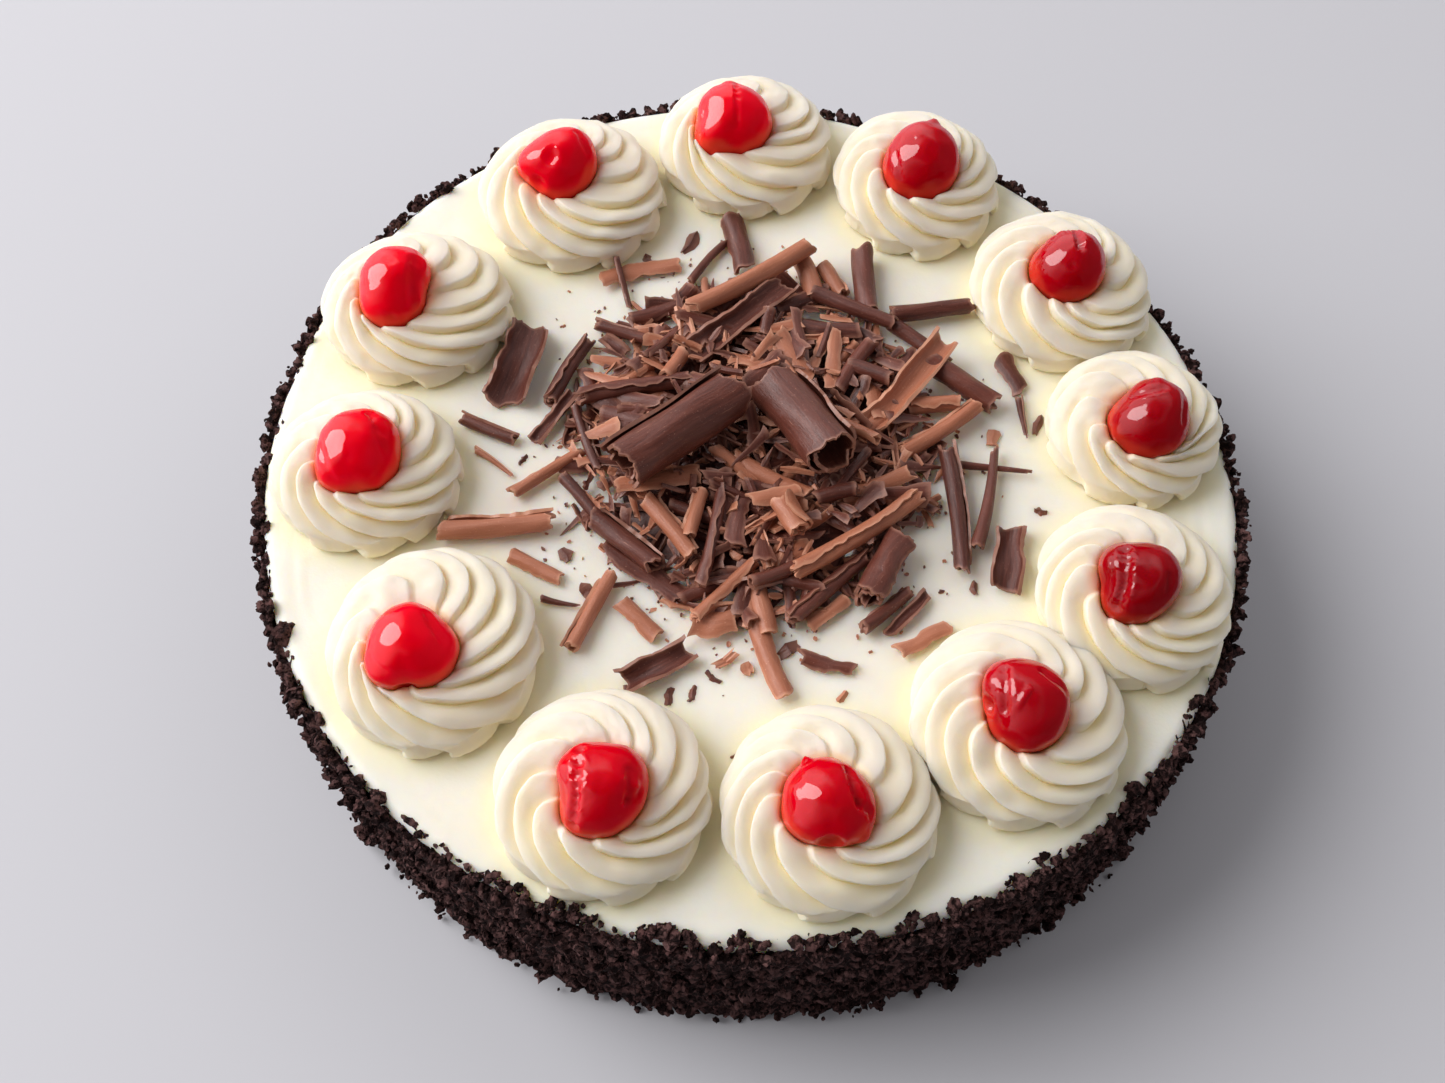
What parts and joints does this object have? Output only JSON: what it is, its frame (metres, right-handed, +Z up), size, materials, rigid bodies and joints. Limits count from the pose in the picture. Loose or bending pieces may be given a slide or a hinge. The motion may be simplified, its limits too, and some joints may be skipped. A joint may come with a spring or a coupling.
{
  "type": "black forest cake",
  "caption": "Round uncut cream cake with a dark crumb side, a ring of piped rosettes each holding a glossy cherry, and a heap of chocolate curls in the middle.",
  "frame": {"origin": "centre of the flat underside of the cake", "axes": "+Z up through the cake, -Y towards the side that faces the viewer, +X to the viewer's right"},
  "size_m": [0.257, 0.253, 0.0797],
  "materials": {
    "cream": "soft satin whipped cream, warm white",
    "crumb": "matte dark sponge crumbs",
    "cherry": "glossy translucent glace cherry",
    "dark_chocolate": "satin dark chocolate",
    "milk_chocolate": "satin milk chocolate"
  },
  "bodies": {
    "root": {"cream_cake": "cream", "crumb_coat": "crumb", "rosette_01": "cream", "cherry_01": "cherry", "rosette_02": "cream", "cherry_02": "cherry", "rosette_03": "cream", "cherry_03": "cherry", "rosette_04": "cream", "cherry_04": "cherry", "rosette_05": "cream", "cherry_05": "cherry", "rosette_06": "cream", "cherry_06": "cherry", "rosette_07": "cream", "cherry_07": "cherry", "rosette_08": "cream", "cherry_08": "cherry", "rosette_09": "cream", "cherry_09": "cherry", "rosette_10": "cream", "cherry_10": "cherry", "rosette_11": "cream", "cherry_11": "cherry", "rosette_12": "cream", "cherry_12": "cherry", "shavings": "dark_chocolate", "curl_left": "dark_chocolate", "curl_right": "dark_chocolate", "loose_curl_01": "dark_chocolate", "loose_curl_02": "dark_chocolate", "loose_curl_03": "dark_chocolate", "loose_curl_04": "milk_chocolate", "loose_curl_05": "milk_chocolate", "loose_curl_06": "dark_chocolate", "loose_curl_07": "milk_chocolate", "loose_curl_08": "dark_chocolate", "loose_curl_09": "milk_chocolate", "loose_curl_10": "dark_chocolate", "loose_curl_11": "milk_chocolate", "loose_curl_12": "milk_chocolate", "loose_curl_13": "dark_chocolate", "loose_curl_14": "milk_chocolate", "loose_curl_15": "dark_chocolate", "loose_curl_16": "dark_chocolate"}
  },
  "joints": []
}
